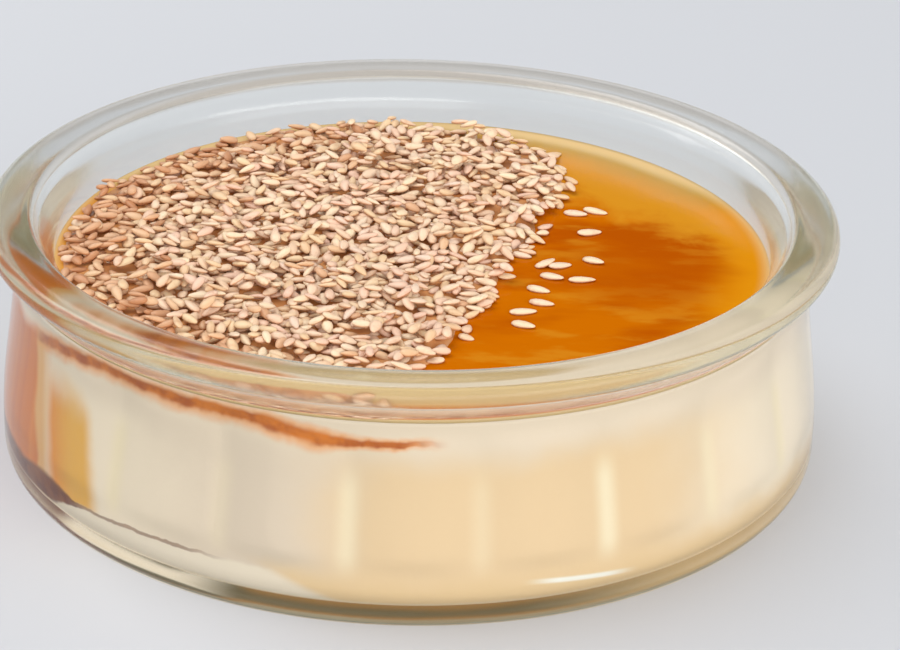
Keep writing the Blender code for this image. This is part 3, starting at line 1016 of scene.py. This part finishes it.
def core_reach(angle):
    """How far the core reaches from its middle at this angle, found by halving."""
    near, far = 0.0, CORE_FARTHEST
    for _ in range(24):
        middle = (near + far) / 2
        x = CORE_MIDDLE.x + middle * math.cos(angle)
        y = CORE_MIDDLE.y + middle * math.sin(angle)
        if math.hypot(x, y) < bed_wall(y) - CORE_WALL_GAP and x < bed_border(y) - CORE_BORDER_GAP:
            near = middle
        else:
            far = middle
    return near


def core_top(share):
    """Height of the core's top, at a share of the way from its middle to its edge."""
    return CARAMEL_TOP_Z + CORE_RISE * (1.0 - share ** CORE_ROUNDING) + CORE_LIFT


def core_ring(work, share, z):
    """One ring of points of the core, at a share of the way to its edge and at this height."""
    ring = []
    for k in range(CORE_STEPS):
        angle = math.tau * k / CORE_STEPS
        reach = core_reach(angle) * share
        ring.append(work.verts.new(((CORE_MIDDLE.x + reach * math.cos(angle)) * MM,
                                    (CORE_MIDDLE.y + reach * math.sin(angle)) * MM, z * MM)))
    return ring


def sesame_core():
    """The dark core of the bed, just over the caramel, under the seeds."""
    work = bmesh.new()
    bottom = CARAMEL_TOP_Z - CORE_SINK
    loops = [core_ring(work, share, core_top(share)) for share in evenly(0.0, 1.0, CORE_RINGS)[1:]]
    loops.append(core_ring(work, 1.0, bottom))
    crown = work.verts.new((CORE_MIDDLE.x * MM, CORE_MIDDLE.y * MM, core_top(0.0) * MM))
    base = work.verts.new((CORE_MIDDLE.x * MM, CORE_MIDDLE.y * MM, bottom * MM))
    for k in range(CORE_STEPS):
        after = (k + 1) % CORE_STEPS
        work.faces.new((crown, loops[0][k], loops[0][after]))
        work.faces.new((base, loops[-1][after], loops[-1][k]))
        for inner, outer in zip(loops[:-1], loops[1:]):
            work.faces.new((inner[k], outer[k], outer[after], inner[after]))
    bmesh.ops.recalc_face_normals(work, faces=work.faces)
    mesh = bpy.data.meshes.new("sesame_core")
    work.to_mesh(mesh)
    work.free()
    return scene_object("sesame_core", mesh)


# ---------------------------------------------------------------- studio

TABLE_Z = -0.0002
TABLE_DARK = (0.545, 0.56, 0.585, 1.0)
TABLE_LIGHT = (0.565, 0.575, 0.60, 1.0)
ROOM_LIGHT = (0.71, 0.725, 0.75, 1.0)
ROOM_DARK = (0.03, 0.03, 0.03, 1.0)  # a dark wall behind the dish, which its back rim mirrors
LIGHT_AIM = Vector((0.0, 0.0, 0.01))


def studio_floor():
    """Plain pale floor, a hair below the dish."""
    bpy.ops.mesh.primitive_plane_add(size=3.0, location=(0.0, 0.0, TABLE_Z))
    floor = bpy.context.object
    floor.name = "floor"
    made, tree, shader, vector = new_material("pale_table")
    shade = blend_colour(tree, noise(tree, vector, 6.0), TABLE_DARK, TABLE_LIGHT)
    feed(tree, shader.inputs["Base Color"], shade)
    set_sockets(shader, {"Roughness": 0.75, "Specular IOR Level": 0.2})
    floor.data.materials.append(made)


def soft_box(name, location, size, power, colour):
    """An area light, as wide and as high as given, that looks at the dish."""
    data = bpy.data.lights.new(name, "AREA")
    data.shape = "RECTANGLE"
    data.size, data.size_y = size
    data.energy = power
    data.color = colour
    lamp = scene_object(name, data)
    lamp.location = location
    lamp.rotation_euler = (LIGHT_AIM - Vector(location)).to_track_quat("-Z", "Y").to_euler()
    return lamp


def studio_light():
    """A soft overhead key from the back left, a wide low fill in front and a dim room behind."""
    soft_box("key", (-0.30, 0.25, 0.62), (0.6, 0.6), 3.05, (1.0, 0.98, 0.96))
    fill = soft_box("fill", (0.45, -0.95, 0.30), (1.9, 0.5), 11.8, (1.0, 0.99, 0.97))
    fill.visible_glossy = False
    world = bpy.data.worlds.new("room")
    bpy.context.scene.world = world
    world.use_nodes = True
    tree = world.node_tree
    backdrop = tree.nodes["Background"]
    ray = place(tree, "ShaderNodeTexCoord").outputs["Generated"]
    parts = place(tree, "ShaderNodeSeparateXYZ", {0: ray})
    x, y, z = parts.outputs
    dim = product(tree, step(tree, y, 0.2, 0.4), between(tree, x, -0.22, 0.3, 0.22),
                  between(tree, z, 0.3, 0.55, 0.2))
    shade = blend_colour(tree, dim, ROOM_LIGHT, ROOM_DARK)
    feed(tree, backdrop.inputs["Color"], shade)
    backdrop.inputs["Strength"].default_value = 1.0


def table_camera():
    """The camera: a long lens, low over the table, looking at the front."""
    elevation, roll = math.radians(CAMERA_ELEVATION), math.radians(CAMERA_ROLL)
    back = Vector((0.0, -math.cos(elevation), math.sin(elevation)))
    level = Vector((1.0, 0.0, 0.0))
    upright = back.cross(level)
    side = level * math.cos(roll) + upright * math.sin(roll)
    up = upright * math.cos(roll) - level * math.sin(roll)
    data = bpy.data.cameras.new("camera")
    data.lens = CAMERA_LENS
    data.sensor_width = CAMERA_SENSOR
    data.clip_start = 0.01
    camera = scene_object("camera", data)
    camera.matrix_world = (Matrix.Translation((CAMERA_AIM + back * CAMERA_DISTANCE) * MM)
                           @ Matrix((side, up, back)).transposed().to_4x4())
    bpy.context.scene.camera = camera


# ---------------------------------------------------------------- main

def main():
    """Makes the dish and its contents, then the studio."""
    bpy.context.scene.view_settings.view_transform = "Standard"
    rng = np.random.default_rng(SEED)
    place_group, mottle = round_place_group(), mottle_group()
    flutes, seed_tree = fluted_wall_group(), seed_group()

    look = pressed_glass(place_group)
    glass = fluted(turned("ramekin_glass", glass_profile(), WALL_STEPS), flutes, GLASS_PRESS_R, look)
    dress(glass, look, "glass_ramekin")
    glass.visible_shadow = False
    glass.visible_diffuse = False

    look = baked_custard(place_group, mottle)
    custard = fluted(turned("custard_body", custard_profile(), WALL_STEPS), flutes, CUSTARD_PRESS_R, look)
    dress(custard, look, "custard")

    look = liquid_caramel(place_group, mottle)
    dress(turned("caramel_pool", caramel_profile(), CARAMEL_STEPS), look, "caramel")

    dress(sesame_core(), dark_syrup(), "sesame_heap")
    ground = Ground(CARAMEL_TOP_Z)
    apart = loose_seeds(rng, ground)
    heap = heaped_seeds(rng, ground)
    look = toasted_sesame(mottle)
    dress(strewn_seeds("sesame_bed", seed_tree, heap, look), look, None)
    dress(strewn_seeds("sesame_loose", seed_tree, apart, look), look, None)

    studio_floor()
    studio_light()
    table_camera()


main()
